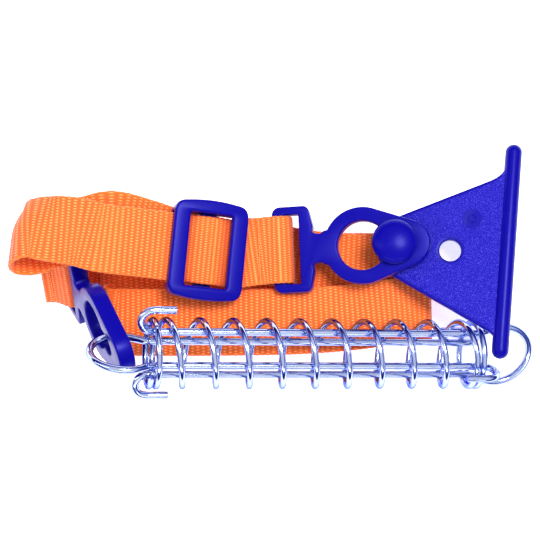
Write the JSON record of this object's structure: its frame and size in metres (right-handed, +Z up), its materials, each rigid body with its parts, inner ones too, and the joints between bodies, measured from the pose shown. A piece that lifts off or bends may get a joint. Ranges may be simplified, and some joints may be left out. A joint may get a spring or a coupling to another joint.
{
  "type": "awning tie-down strap kit",
  "caption": "Folded webbing strap with a slider, a keyhole connector at each end, a T-plate with a keder rod and a drawbar compression spring.",
  "frame": {"origin": "middle of the kit's footprint, on the surface it lies on", "axes": "+X along the folded strap from its left fold to the T-plate, +Y across the strap away from the spring, +Z up"},
  "size_m": [0.1942, 0.0934, 0.0593],
  "materials": {
    "webbing": "woven",
    "thread": "twisted",
    "plastic": "satin moulded",
    "zinc": "bright zinc plated"
  },
  "bodies": {
    "strap": {"webbing_top_run": "webbing", "webbing_right_loop": "webbing", "stitching_right": "thread", "webbing_hank_upper": "webbing", "webbing_hank_lower": "webbing"},
    "slider": {"slider": "plastic"},
    "right_connector": {"connector_right": "plastic"},
    "t_plate": {"t_plate": "plastic", "stud": "plastic"},
    "left_connector": {"connector_left": "plastic", "webbing_left_loop": "webbing", "stitching_left": "thread"},
    "drawbar_b": {"drawbar_b": "zinc", "coil": "zinc"},
    "drawbar_a": {"drawbar_a": "zinc"}
  },
  "joints": [
    {"name": "slider_slide", "type": "slide", "parent": "strap", "child": "slider", "axis": [0.9468, -0.1175, -0.2996], "range_m": [-0.022, 0.001]},
    {"name": "right_connector_swing", "type": "hinge", "parent": "strap", "child": "right_connector", "pos_m": [0.00261, 0.00701, 0.01889], "axis": [-0.0434, 0.9936, -0.1045], "range_deg": [-70, 0]},
    {"name": "plate_swivel", "type": "hinge", "parent": "right_connector", "child": "t_plate", "pos_m": [0.0449, 0.00853, 0.01931], "axis": [-0.0727, 0.1631, 0.9839], "range_deg": [0, 90]},
    {"name": "left_loop_swing", "type": "hinge", "parent": "strap", "child": "left_connector", "pos_m": [-0.08518, -0.00218, 0.01333], "axis": [0, 0, 1], "range_deg": [-30, 0]},
    {"name": "spring_swing", "type": "hinge", "parent": "left_connector", "child": "drawbar_b", "pos_m": [-0.05244, -0.03126, 0.05057], "axis": [0, 0, 1], "range_deg": [-20, 0]},
    {"name": "spring_pull", "type": "slide", "parent": "drawbar_b", "child": "drawbar_a", "axis": [0.9724, -0.0151, -0.2327], "range_m": [0, 0.06], "stiffness_N_per_m": 600, "deforming": ["coil"]}
  ]
}
